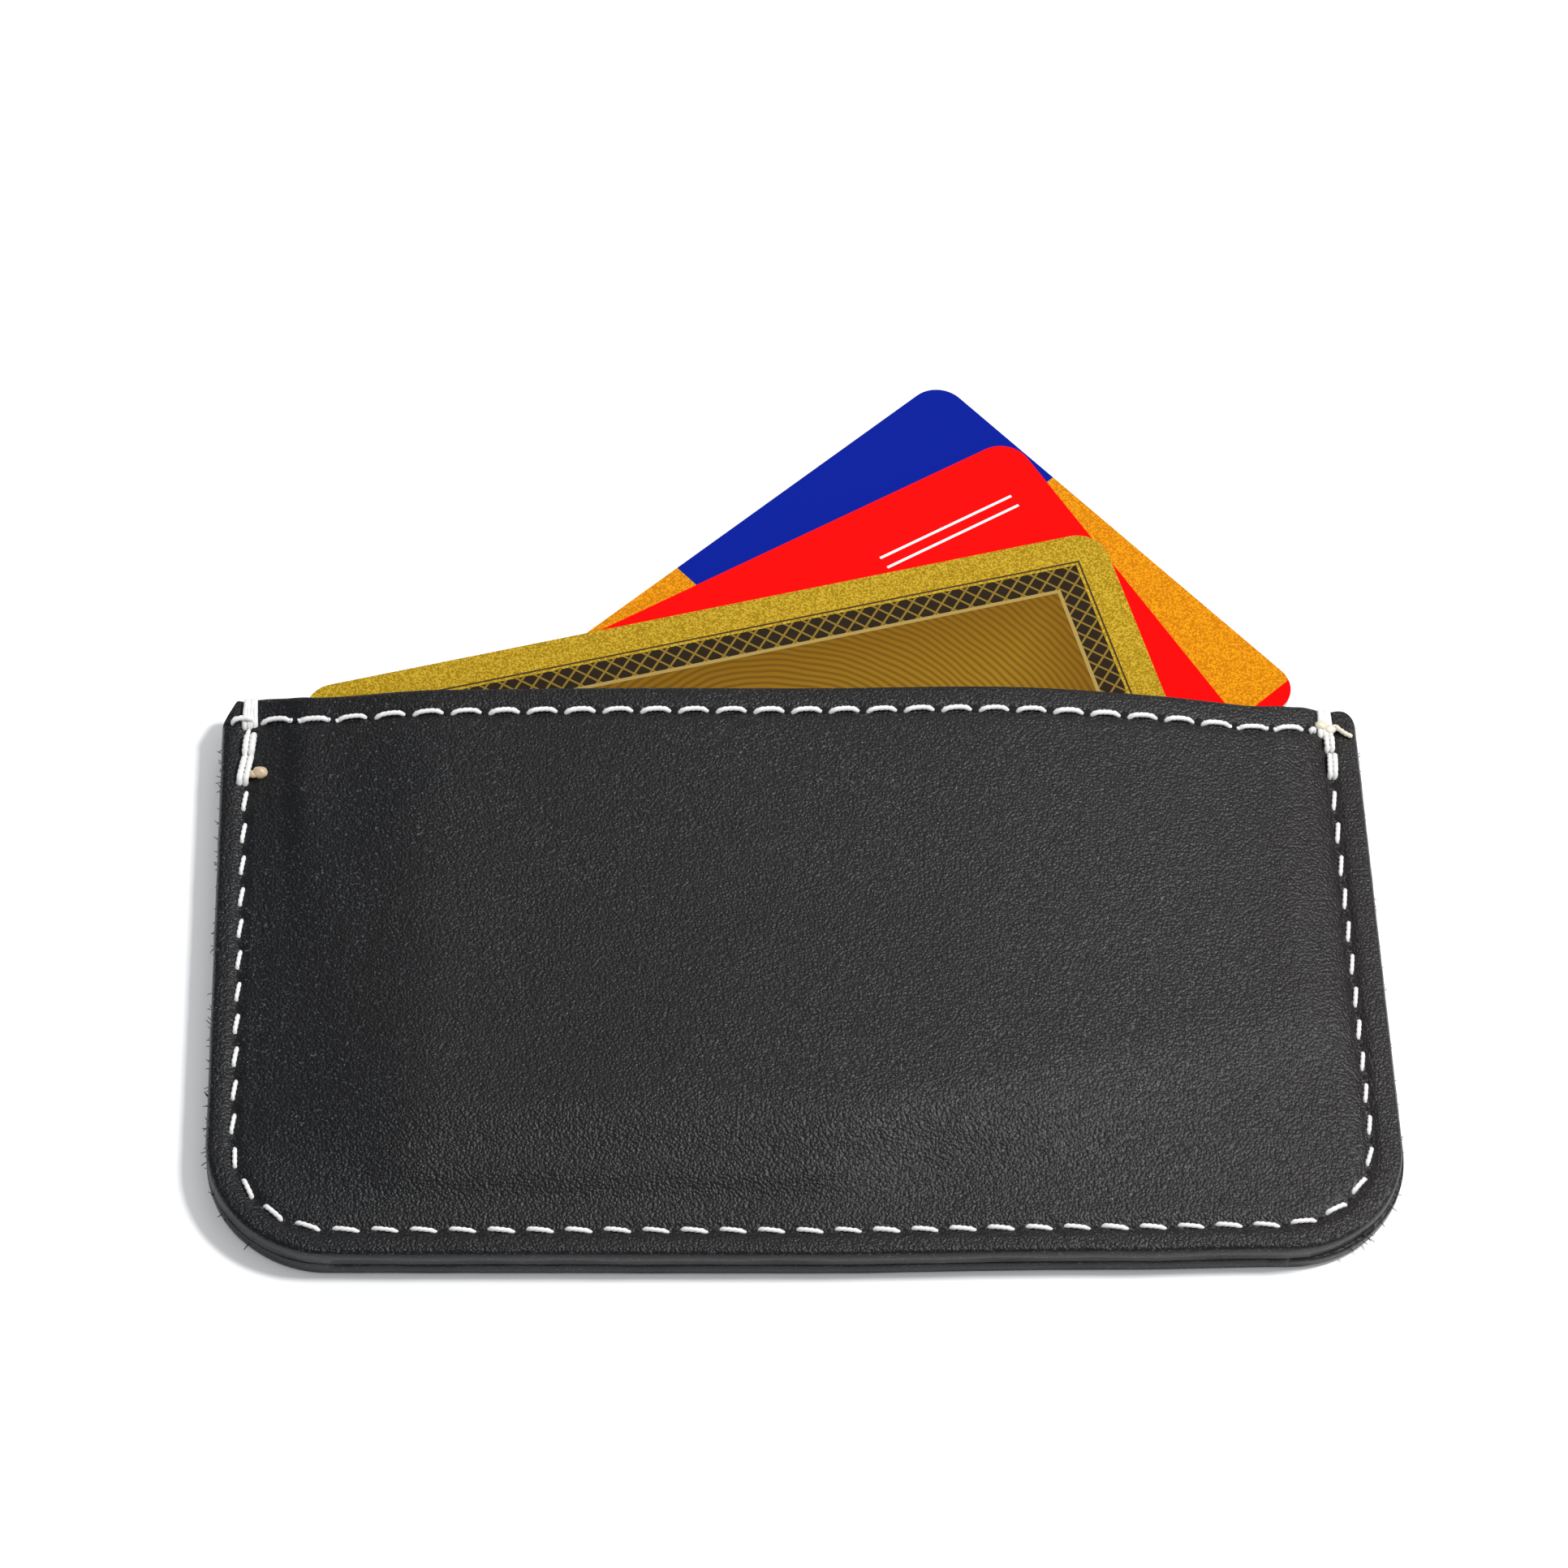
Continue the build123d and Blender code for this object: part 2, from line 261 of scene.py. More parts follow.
@dataclass(frozen=True)
class LeatherFinish:
    """Black leather with a fine pebbled grain, cooler at the left and browner at the right, with painted
    glints: light grey specks in its colour.
    """

    name: str = "black_leather"
    cool: tuple[float, float, float, float] = (0.0062, 0.0066, 0.0078, 1.0)
    warm: tuple[float, float, float, float] = (0.0125, 0.0103, 0.0098, 1.0)
    glint: tuple[float, float, float, float] = (0.17, 0.18, 0.19, 1.0)
    grain_size: float = 0.27 * MM
    grain_warp: float = 0.4 * MM
    grain_depth: float = 0.11 * MM
    wave_depth: float = 1.2 * MM
    glint_strength: float = 0.40
    roughness: float = 0.20
    specular: float = 0.36

    def make(self) -> bpy.types.Material:
        """Build the material: tone, painted glint specks, roughness and relief.

        Returns:
            The leather.
        """
        nodes = Nodes(self.name)
        place = nodes.place()
        warp = nodes.add("ShaderNodeVectorMath", operation="MULTIPLY_ADD")
        wobble = nodes.add("ShaderNodeTexNoise")
        nodes.wire(place, wobble.inputs["Vector"])
        wobble.inputs["Scale"].default_value = 700.0
        nodes.wire(wobble.outputs["Color"], warp.inputs[0])
        warp.inputs[1].default_value = (self.grain_warp,) * 3
        nodes.wire(place, warp.inputs[2])
        pebble = nodes.add("ShaderNodeTexVoronoi", feature="SMOOTH_F1")
        nodes.wire(warp.outputs[0], pebble.inputs["Vector"])
        pebble.inputs["Scale"].default_value = 1.0 / self.grain_size
        pebble.inputs["Smoothness"].default_value = 0.5
        fine = nodes.noise(place, 5200.0, 3.0)
        broad = nodes.noise(place, 60.0, 3.0)
        split = nodes.add("ShaderNodeSeparateXYZ")
        nodes.wire(place, split.inputs[0])
        mottle = nodes.times(broad, 0.5)
        across = nodes.math("ADD", nodes.ramp(split.outputs[0], -50.0 * MM, 60.0 * MM), mottle)
        tone = nodes.mix(nodes.ramp(across, 0.25, 1.25), self.cool, self.warm)
        # painted highlights: light grey specks, clustered in broad patches, are mixed into the base
        # colour as glints off the grain
        speck = nodes.ramp(nodes.noise(place, 3900.0, 1.0), 0.62, 0.76)
        patch = nodes.ramp(nodes.noise(place, 45.0, 2.0), 0.30, 0.72)
        speck = nodes.times(speck, self.glint_strength)
        glint_share = nodes.times(speck, nodes.math("ADD", patch, 0.35))
        tone = nodes.mix(glint_share, tone, self.glint)
        nodes.put("Base Color", tone)
        facing = nodes.add("ShaderNodeSeparateXYZ")
        nodes.wire(nodes.add("ShaderNodeTexCoord").outputs["Normal"], facing.inputs[0])
        flat = nodes.ramp(nodes.math("ABSOLUTE", facing.outputs[2]), 0.45, 0.85)
        rough = nodes.math("ADD", nodes.times(fine, 0.28), nodes.times(flat, 0.10))
        rough = nodes.math("ADD", rough, self.roughness)
        nodes.put("Roughness", rough)
        nodes.put("Specular IOR Level", self.specular)
        relief = nodes.math("SUBTRACT", nodes.times(fine, 0.5), pebble.outputs["Distance"])
        shown = nodes.math("ADD", nodes.times(flat, 0.75), 0.25)
        coarse = nodes.bump(nodes.times(relief, shown), 0.85, self.grain_depth)
        normal = nodes.bump(broad, 0.12, self.wave_depth, coarse)
        nodes.put("Normal", normal)
        return nodes.material


@dataclass(frozen=True)
class ThreadFinish:
    """Twisted thread with a soft sheen; its plies are in the mesh."""

    name: str
    colour: tuple[float, float, float, float]
    roughness: float = 0.32
    specular: float = 0.65
    shade: float = 0.72
    fuzz: float = 0.05 * MM

    def make(self) -> bpy.types.Material:
        """Build the material.

        Returns:
            The thread.
        """
        nodes = Nodes(self.name)
        place = nodes.place()
        tint = nodes.noise(place, 1500.0, 3.0)
        shade = tuple(channel * self.shade for channel in self.colour[:3]) + (1.0,)
        nodes.put("Base Color", nodes.mix(tint, self.colour, shade))
        nodes.put("Roughness", self.roughness)
        nodes.put("Specular IOR Level", self.specular)
        normal = nodes.bump(nodes.noise(place, 9000.0), 0.35, self.fuzz)
        nodes.put("Normal", normal)
        return nodes.material


class Print(Enum):
    """The design on a card's face."""

    GOLD = "front_card"
    RED = "middle_card"
    TWO_TONE = "rear_card"


@dataclass(frozen=True)
class CardPlace:
    """Where a card lies and how it is turned, in millimetres and degrees."""

    x: float
    y: float
    turn: float


@dataclass(frozen=True)
class CardFinish:
    """A printed, laminated card face with a generic design on coordinates centred on the card."""

    design: Print
    place: CardPlace
    half_width: float = 42.8
    half_height: float = 26.99
    corner: float = 3.18
    border: float = 3.75
    field: float = 6.75
    lattice_pitch: float = 1.9
    block: tuple[float, float] = (4.6, 9.6)
    red_edge: float = -25.1
    rules: tuple[tuple[float, float], tuple[float, float]] = ((20.3, 20.6), (18.9, 19.2))
    rule_span: tuple[float, float] = (22.0, 38.5)
    roughness: float = 0.36
    specular: float = 0.05
    relief: float = 0.03 * MM

    def centred(
        self, nodes: Nodes
    ) -> tuple[Socket, Socket, Socket]:
        """Return the card's own coordinates in millimetres.

        Args:
            nodes: The material.

        Returns:
            The vector, its U and its V.
        """
        mapping = nodes.add("ShaderNodeMapping", vector_type="TEXTURE")
        nodes.wire(nodes.place(), mapping.inputs["Vector"])
        mapping.inputs["Location"].default_value = (self.place.x * MM, self.place.y * MM, 0.0)
        mapping.inputs["Rotation"].default_value = (0.0, 0.0, math.radians(self.place.turn))
        mapping.inputs["Scale"].default_value = (MM, MM, MM)
        split = nodes.add("ShaderNodeSeparateXYZ")
        nodes.wire(mapping.outputs[0], split.inputs[0])
        return mapping.outputs[0], split.outputs[0], split.outputs[1]

    def depth(self, nodes: Nodes, along: object, up: object) -> Socket:
        """Return the distance inside the card's round-cornered edge, in millimetres.

        Args:
            nodes: The material.
            along: The card's U.
            up: The card's V.

        Returns:
            The depth, below 0 outside the card.
        """
        over_u = nodes.math("SUBTRACT", nodes.math("ABSOLUTE", along), self.half_width - self.corner)
        over_v = nodes.math("SUBTRACT", nodes.math("ABSOLUTE", up), self.half_height - self.corner)
        out_u = nodes.math("POWER", nodes.math("MAXIMUM", over_u, 0.0), 2.0)
        out_v = nodes.math("POWER", nodes.math("MAXIMUM", over_v, 0.0), 2.0)
        outside = nodes.math("SQRT", nodes.math("ADD", out_u, out_v))
        inside = nodes.math("MINIMUM", nodes.math("MAXIMUM", over_u, over_v), 0.0)
        return nodes.math("SUBTRACT", self.corner, nodes.math("ADD", outside, inside))

    def band(self, nodes: Nodes, value: object, low: float, high: float) -> Socket:
        """Return 1 where a value lies between two limits."""
        over, under = nodes.math("GREATER_THAN", value, low), nodes.math("LESS_THAN", value, high)
        return nodes.times(over, under)

    def stripes(self, nodes: Nodes, value: object, pitch: float, share: float) -> Socket:
        """Return 1 on regular lines across a value."""
        phase = nodes.math("FRACT", nodes.math("DIVIDE", value, pitch))
        return nodes.math("LESS_THAN", phase, share)

    def gold(
        self, nodes: Nodes, vector: object, along: object, up: object, glitter: object
    ) -> Socket:
        """Colour the gold card: a metallic border, a dark lattice band and a lined amber field.

        Args:
            nodes: The material.
            vector: The card's coordinates.
            along: The card's U.
            up: The card's V.
            glitter: Noise of the metallic ink.

        Returns:
            The colour.
        """
        depth = self.depth(nodes, along, up)
        metal = nodes.mix(glitter, (0.28, 0.165, 0.004, 1.0), (0.52, 0.345, 0.028, 1.0))
        rosette = nodes.add("ShaderNodeTexWave", wave_type="RINGS", rings_direction="Z")
        nodes.wire(vector, rosette.inputs["Vector"])
        rosette.inputs["Scale"].default_value = 0.42
        rosette.inputs["Distortion"].default_value = 5.0
        rosette.inputs["Detail Scale"].default_value = 0.35
        lines = nodes.ramp(rosette.outputs["Fac"], 0.45, 0.75)
        inward = nodes.ramp(depth, 6.5, 20.0)
        amber = nodes.mix(inward, (0.19, 0.090, 0.004, 1.0), (0.31, 0.175, 0.012, 1.0))
        amber = nodes.mix(nodes.times(lines, 0.55), amber, (0.090, 0.040, 0.004, 1.0))
        rising = self.stripes(nodes, nodes.math("ADD", along, up), self.lattice_pitch, 0.16)
        falling = self.stripes(nodes, nodes.math("SUBTRACT", along, up), self.lattice_pitch, 0.16)
        lattice = nodes.math("MAXIMUM", rising, falling)
        dark = nodes.mix(lattice, (0.022, 0.014, 0.008, 1.0), (0.21, 0.135, 0.020, 1.0))
        colour = nodes.mix(nodes.math("GREATER_THAN", depth, self.field), dark, amber)
        frame_line = self.band(nodes, depth, 6.35, self.field)
        colour = nodes.mix(frame_line, colour, (0.34, 0.24, 0.07, 1.0))
        colour = nodes.mix(nodes.math("LESS_THAN", depth, self.border), colour, metal)
        return nodes.mix(self.band(nodes, depth, 3.25, 3.45), colour, (0.05, 0.035, 0.015, 1.0))

    def red(self, nodes: Nodes, along: object, up: object) -> Socket:
        """Colour the red card: plain red with two thin white rules under the upper edge.

        Args:
            nodes: The material.
            along: The card's U.
            up: The card's V.

        Returns:
            The colour.
        """
        upper, lower = (self.band(nodes, up, *limits) for limits in self.rules)
        rules = nodes.math("MAXIMUM", upper, lower)
        rules = nodes.times(rules, self.band(nodes, along, *self.rule_span))
        return nodes.mix(rules, (0.80, 0.0, 0.0, 1.0), (0.85, 0.75, 0.75, 1.0))

    def two_tone(
        self, nodes: Nodes, along: object, up: object, glitter: object
    ) -> Socket:
        """Colour the rear card: a blue block, sparkling orange and a red lower corner.

        Args:
            nodes: The material.
            along: The card's U.
            up: The card's V.
            glitter: Noise of the metallic ink.

        Returns:
            The colour.
        """
        orange = nodes.mix(glitter, (0.48, 0.155, 0.0005, 1.0), (0.74, 0.29, 0.005, 1.0))
        block_u, block_v = self.block
        above = nodes.math("GREATER_THAN", up, block_v)
        beside = nodes.math("GREATER_THAN", along, block_u)
        block = nodes.times(above, beside)
        colour = nodes.mix(block, orange, (0.0, 0.010, 0.25, 1.0))
        return nodes.mix(nodes.math("LESS_THAN", up, self.red_edge), colour, (0.78, 0.0, 0.0, 1.0))

    def make(self) -> bpy.types.Material:
        """Build the material of this card's face.

        Returns:
            The printed face.
        """
        nodes = Nodes(self.design.value + "_print")
        vector, along, up = self.centred(nodes)
        glitter = nodes.ramp(nodes.noise(vector, 5.5, 1.0), 0.42, 0.62)
        if self.design is Print.GOLD:
            colour = self.gold(nodes, vector, along, up, glitter)
        elif self.design is Print.RED:
            colour = self.red(nodes, along, up)
        else:
            colour = self.two_tone(nodes, along, up, glitter)
        nodes.put("Base Color", colour)
        nodes.put("Roughness", self.roughness)
        nodes.put("Specular IOR Level", self.specular)
        nodes.put("Normal", nodes.bump(glitter, 0.05, self.relief))
        return nodes.material


@dataclass(frozen=True)
class PlasticFinish:
    """A smooth plastic, laminate, tape or panel with a faint mottle."""

    name: str
    colour: tuple[float, float, float, float]
    roughness: float
    shade: float = 0.88
    relief: float = 0.04 * MM

    def make(self) -> bpy.types.Material:
        """Build the material.

        Returns:
            The plastic.
        """
        nodes = Nodes(self.name)
        place = nodes.place()
        shade = tuple(channel * self.shade for channel in self.colour[:3]) + (1.0,)
        tint = nodes.mix(nodes.noise(place, 900.0), self.colour, shade)
        nodes.put("Base Color", tint)
        nodes.put("Roughness", self.roughness)
        normal = nodes.bump(nodes.noise(place, 2500.0), 0.08, self.relief)
        nodes.put("Normal", normal)
        return nodes.material


# ------------------------------------------------------------------ leather
@dataclass
class Sewing:
    """Where the thread runs, in millimetres from the cut edges."""

    left_inset: float = 2.5
    right_inset: float = 3.1
    bottom_inset: float = 2.7
    row_inset: float = 3.2
    start_drop: float = 3.0
    corner: float = 9.3
    pitch: float = 3.67
    row_start: float = 3.49
    row_pitch: float = 3.81
    strand: float = 0.56
    row_strand: float = 0.56


@dataclass
class Leather:
    """The two panels, each one sheet with rounded cut edges; all sizes in millimetres."""

    sewing: Sewing
    half_width: float
    half_height: float
    thickness: float
    rise: float
    corner: float = 12.0
    pocket_half: float = 54.5
    slope: float = 5.3
    foot_inset: float = 3.2
    foot_slope: float = 5.6
    soft_foot: float = 12.5
    lining_clearance: float = 0.06
    thinnest: float = 0.70
    arch_rises: tuple[Rise, Rise] = (Rise(2.45, -56.5, 21.0), Rise(0.35, -32.0, 26.0))
    arch_fall: float = 2.8
    arch_top_x: float = 2.0
    arch_reach: float = 60.0
    open_least: float = 0.4
    open_rise: Rise = Rise(0.8, -52.0, 35.0)
    open_bulge: float = 1.15
    bulge_x: float = 23.0
    bulge_width: float = 15.0
    open_start: Rise = Rise(1.0, -56.5, 5.0)
    open_end: Rise = Rise(1.0, 53.0, -16.0)
    open_height: float = 0.42
    open_push: float = 0.40
    end_push: float = 0.65
    foot_skew_left: Rise = Rise(0.45, 28.0, -30.0)
    foot_skew_right: Rise = Rise(0.30, 30.0, 15.0)
    mouth_clip: tuple[float, float] = (1.6, 3.3)
    mouth_round: tuple[float, float] = (2.3, 2.5)
    side_waver: float = 0.04
    foot_waver: float = 0.03
    fallen_share: float = 0.62
    card_tilt: float = math.radians(14.63)
    card_left_x: float = -50.1
    card_right_x: float = 53.2
    seam_dent: float = 0.34
    row_dent: float = 0.16
    back_dent: float = 1.9
    outer_round: float = 0.6
    inner_round: float = 0.10
    sharp_angle: float = 1.1
    back_spread: float = 0.38

    @classmethod
    def from_frame(cls, sewing: Sewing) -> "Leather":
        """Return the leather with the sizes of the CAD panels.

        Args:
            sewing: Where the thread runs.

        Returns:
            The two panels' sizes.
        """
        high = box_mm("back_panel")[1]
        top = box_mm("front_panel")[1].z
        return cls(sewing, high.x, high.y, high.z, top - 2.0 * high.z)

    def pocket(self, x: float, y: float) -> float:
        """Work out how far the pocket's inner face stands up over the sewn edge at a point.

        Args:
            x: Place across the sleeve.
            y: Place up the sleeve.

        Returns:
            The height.
        """
        side = smooth((self.pocket_half - abs(x)) / self.slope)
        foot = smooth((y + self.half_height - self.foot_inset) / self.foot_slope)
        card_side = self.card_left_x + (self.half_height - 2.6 - y) * math.tan(self.card_tilt)
        fallen = max(self.sag(x, y), smooth((card_side - 1.0 - x) / 10.0))
        room = self.rise - self.lining_clearance
        return room * side * foot * (1.0 - self.fallen_share * fallen)

    def sag(self, x: float, y: float) -> float:
        """Return how much of the pocket has fallen in below the cards, at the bottom right."""
        below = (x - self.card_right_x) * math.tan(self.card_tilt) - 3.0 - y
        return smooth(below / 12.0) * smooth(x / 12.0)

    def arch(self, x: float) -> float:
        """Work out the mouth's soft arch, which falls slowly to its right end.

        Args:
            x: Place across the sleeve.

        Returns:
            The height.
        """
        first, second = self.arch_rises
        fall = self.arch_fall * (max(x - self.arch_top_x, 0.0) / self.arch_reach) ** 1.8
        return first.at(x) + second.at(x) - fall

    def lift(self, x: float) -> float:
        """Work out how far the cards push the mouth open: most to the right of the middle.

        Args:
            x: Place across the sleeve.

        Returns:
            The amount, which the mouth's rise and its push outwards share.
        """
        bulge = self.open_bulge * math.exp(-(((x - self.bulge_x) / self.bulge_width) ** 2))
        fan = self.open_least + self.open_rise.at(x) + bulge
        return fan * self.open_start.at(x) * self.open_end.at(x)

    def gape(self, x: float, y: float) -> float:
        """Return how far the front panel stands off the cards at a point."""
        return self.open_height * self.lift(x) * smooth((y + 5.0) / 36.4)

    def settle(self, bm: Mesh) -> None:
        """Move a sewn piece with the leather.

        The foot is cut a little out of square, and the mouth is pushed out.

        Args:
            bm: The piece's mesh, which is changed.
        """
        for vert in bm.verts:
            x, y, z = vert.co
            foot = smooth((-y - 5.0) / 25.0)
            vert.co.y += foot * (self.foot_skew_right.at(x) - self.foot_skew_left.at(x))
            mouth = smooth((y - 8.0) / 20.0)
            ends = max(smooth((-48.0 - x) / 6.0), smooth((x - 46.0) / 7.0))
            vert.co.y += self.end_push * ends * mouth
            if z > self.thickness - 0.02:
                vert.co.y += self.open_push * self.lift(x) * mouth

    def swell(self, x: float, y: float) -> float:
        """Work out how far the front's outer face stands up over the sewn edge at a point.

        Args:
            x: Place across the sleeve.
            y: Place up the sleeve.

        Returns:
            The height.
        """
        side = smooth((self.pocket_half + 0.4 - abs(x)) / 3.0)
        foot = smooth((y + self.half_height - self.foot_inset) / self.soft_foot)
        soft = self.arch(x) * side * foot * (1.0 - 0.45 * self.sag(x, y))
        least = self.pocket(x, y) + self.thinnest - self.thickness
        blend = max(0.8 - abs(soft - least), 0.0)
        return max(soft, least) + blend * blend / 3.2 + self.gape(x, y)

    def rim(self, x: float, y: float, radius: float) -> float:
        """Work out how far a rounded cut edge falls away at a point near the outline.

        Args:
            x: Place across the sleeve.
            y: Place up the sleeve.
            radius: The edge's radius.

        Returns:
            The fall in millimetres.
        """
        depth = min(self.half_width - abs(x), y + self.half_height, self.half_height - y)
        over_x, over_y = abs(x) - self.half_width + self.corner, self.corner - y - self.half_height
        if over_x > 0.0 and over_y > 0.0:
            depth = self.corner - math.hypot(over_x, over_y)
        short = min(max(radius - depth, 0.0), radius)
        return radius - math.sqrt(radius * radius - short * short)

    def seam_gap(self, x: float, y: float) -> float:
        """Work out a point's distance from the seam line.

        Args:
            x: Place across the sleeve.
            y: Place up the sleeve.

        Returns:
            The distance in millimetres.
        """
        sewing = self.sewing
        left, right = -self.half_width + sewing.left_inset, self.half_width - sewing.right_inset
        foot = -self.half_height + sewing.bottom_inset
        centre_y = foot + sewing.corner
        if y > centre_y:
            return min(abs(x - left), abs(x - right))
        for centre_x, outward in ((left + sewing.corner, -1), (right - sewing.corner, 1)):
            if (x - centre_x) * outward > 0:
                return abs(math.hypot(x - centre_x, y - centre_y) - sewing.corner)
        return abs(y - foot)

    def dent(self, x: float, y: float) -> float:
        """Work out how deep the thread has pulled the surface in.

        Args:
            x: Place across the sleeve.
            y: Place up the sleeve.

        Returns:
            The depth in millimetres.
        """
        seam = self.seam_dent * math.exp(-((self.seam_gap(x, y) / 0.62) ** 2))
        row_y = self.half_height - self.sewing.row_inset
        row = 0.0
        if abs(x) < self.half_width - 2.0:
            row = self.row_dent * math.exp(-(((y - row_y) / 0.75) ** 2))
        return max(seam, row)

    def edge_x(self, y: float) -> float:
        """Work out the outline's half width at a height, before the mouth corners are cut.

        Args:
            y: Place up the sleeve.

        Returns:
            The half width in millimetres.
        """
        below = self.corner - (y + self.half_height)
        if below <= 0.0:
            return self.half_width
        return self.half_width - self.corner + math.sqrt(max(self.corner**2 - below**2, 0.0))

    def rows(self) -> list[float]:
        """Space the grid's heights, close together round the bottom corners and at the mouth.

        Returns:
            The heights, from the foot's edge to the mouth's.
        """
        arc_steps, plain_steps, mouth_steps, mouth_band = 26, 48, 16, 5.0
        turns = [math.radians(10.0 + 80.0 * step / arc_steps) for step in range(arc_steps)]
        arc = [self.corner * (1.0 - math.cos(turn)) for turn in [0.0] + turns]
        plain_end = 2.0 * self.half_height - mouth_band
        plain_span = plain_end - self.corner
        plain = [self.corner + plain_span * step / plain_steps for step in range(plain_steps)]
        mouth = [plain_end + mouth_band * step / mouth_steps for step in range(mouth_steps + 1)]
        return [height - self.half_height for height in arc + plain + mouth]

    def columns(self) -> list[float]:
        """Space the grid's columns, close together over the sewn sides.

        Returns:
            The shares, from -1 at the left to 1 at the right.
        """
        side_steps, plain_steps, side = 26, 110, 0.125
        left = [-1.0 + side * step / side_steps for step in range(side_steps)]
        plain_span = 2.0 * (1.0 - side)
        plain = [-1.0 + side + plain_span * step / plain_steps for step in range(plain_steps)]
        return left + plain + [-share for share in reversed(left)]

    def cut_mouth_corner(self, x: float, y: float) -> tuple[float, float]:
        """Draw a point in where the left mouth corner is clipped and the right one rounded.

        Args:
            x: Place across the sleeve.
            y: Place up the sleeve.

        Returns:
            The point, moved where it was in the corner.
        """
        room_x, room_y = self.mouth_clip if x < 0.0 else self.mouth_round
        over_x = (abs(x) - self.half_width + room_x) / room_x
        over_y = (y - self.half_height + room_y) / room_y
        if over_x <= 0.0 or over_y <= 0.0:
            return x, y
        reach = max(over_x, over_y)
        share = reach / (over_x + over_y) if x < 0.0 else reach / math.hypot(over_x, over_y)
        corner_x = self.half_width - room_x + room_x * over_x * share
        return math.copysign(corner_x, x), self.half_height - room_y + room_y * over_y * share

    def sheet(
        self,
        name: str,
        outer: Callable[[float, float], float],
        inner: Callable[[float, float], float],
        finish: bpy.types.Material,
        seed: int,
        spread: float = 0.0,
    ) -> bpy.types.Object:
        """Make one panel from a grid drawn to the outline, given its thickness by an extrusion.

        Args:
            name: The piece's name.
            outer: Height of the face that shows.
            inner: Height of the face inside the pocket.
            finish: The leather.
            seed: Seed of the cut edge's waver.
            spread: How far the sheet stands out at the right and the bottom right.

        Returns:
            The panel.
        """
        rows, columns = self.rows(), self.columns()
        bm = bmesh.new()
        bmesh.ops.create_grid(bm, x_segments=len(columns) - 1, y_segments=len(rows) - 1, size=1.0)
        waver = random.Random(seed)
        phases = [waver.uniform(0.0, 6.28) for _ in range(4)]
        for vert in bm.verts:
            column = round((vert.co.x + 1.0) / 2.0 * (len(columns) - 1))
            row = round((vert.co.y + 1.0) / 2.0 * (len(rows) - 1))
            y = rows[row]
            x = columns[column] * self.edge_x(y)
            x, y = self.cut_mouth_corner(x, y)
            at_side = smooth((abs(columns[column]) - 0.93) / 0.07)
            at_foot = smooth(1.0 - row / 10.0)
            slow, fast = math.sin(y * 0.31 + phases[0]), math.sin(y * 0.83 + phases[1])
            x += self.side_waver * at_side * slow * fast
            slow, fast = math.sin(x * 0.17 + phases[2]), math.sin(x * 0.45 + phases[3])
            y += self.foot_waver * at_foot * slow * fast
            x += spread * at_side * smooth(x) * smooth((22.0 - y) / 40.0)
            vert.co = (x, y, 0.0)
        shown = list(bm.verts)
        grown = bmesh.ops.extrude_face_region(bm, geom=list(bm.faces))
        hidden = [item for item in grown["geom"] if isinstance(item, bmesh.types.BMVert)]
        for vert in shown:
            vert.co.z = outer(vert.co.x, vert.co.y)
        for vert in hidden:
            vert.co.z = inner(vert.co.x, vert.co.y)
        for edge in bm.edges:
            edge.smooth = edge.calc_face_angle(0.0) < self.sharp_angle
        self.settle(bm)
        return link(bm, name, finish)

    def build(self, finish: bpy.types.Material) -> None:
        """Make both panels and let them replace their CAD solids.

        Args:
            finish: The leather's material.
        """

        def front_outer(x: float, y: float) -> float:
            """Return the height of the front panel's face."""
            face = 2.0 * self.thickness + self.swell(x, y) - self.dent(x, y)
            return face - self.rim(x, y, self.outer_round)

        def front_inner(x: float, y: float) -> float:
            """Return the height of the front panel's inside."""
            inside = self.thickness + self.pocket(x, y) + self.gape(x, y)
            return inside + self.rim(x, y, self.inner_round)

        def back_outer(x: float, y: float) -> float:
            """Return the height of the back panel's face."""
            return self.back_dent * self.dent(x, y) + self.rim(x, y, self.outer_round)

        def back_inner(x: float, y: float) -> float:
            """Return the height of the back panel's inside."""
            return self.thickness - 0.01 - self.rim(x, y, self.inner_round)

        front = self.sheet("front_leather", front_outer, front_inner, finish, 5)
        back = self.sheet("back_leather", back_outer, back_inner, finish, 9, self.back_spread)
        panels = ((front, "front_panel", "front_leather"), (back, "back_panel", "back_leather"))
        for piece, node, slot in panels:
            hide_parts(node)
            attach(piece, SLEEVE)


# ------------------------------------------------------------------ thread
@dataclass
class Strand:
    """A twisted two-ply strand along a path."""

    radius: float
    rings: int = 15
    around: int = 10
    twist_pitch: float = 1.05
    ply_depth: float = 0.32

    def lay(
        self, bm: Mesh, path: Callable[[float], Vector], up: Vector, length: float
    ) -> None:
        """Add the strand to a bmesh.

        Args:
            bm: The mesh that gets it.
            path: Point of the centre line for a share from 0 to 1.
            up: A direction that is never along the path.
            length: Rough length of the path, which sets the number of turns.
        """
        made = bmesh.ops.create_grid(bm, x_segments=self.rings, y_segments=self.around, size=1.0)
        for vert in made["verts"]:
            share = (vert.co.x + 1.0) / 2.0
            angle = (vert.co.y + 1.0) * math.pi
            ahead, behind = path(min(share + 0.01, 1.0)), path(max(share - 0.01, 0.0))
            along = (ahead - behind).normalized()
            across = along.cross(up).normalized()
            over = across.cross(along)
            turn = 2.0 * math.pi * share * length / self.twist_pitch
            radius = self.radius * (1.0 - self.ply_depth * (1.0 - abs(math.cos(angle - turn))))
            ends = math.sqrt(max(1.0 - max(abs(2.0 * share - 1.0) - 0.9, 0.0) * 6.0, 0.1))
            outward = across * math.cos(angle) + over * math.sin(angle)
            vert.co = path(share) + outward * radius * ends
        bmesh.ops.remove_doubles(bm, verts=made["verts"], dist=0.0005)


@dataclass(frozen=True)
class FatStitch:
    """One fat stitch over the seam: its top and foot, and how far each is shifted to the side."""

    top: float
    foot: float
    top_shift: float
    foot_shift: float


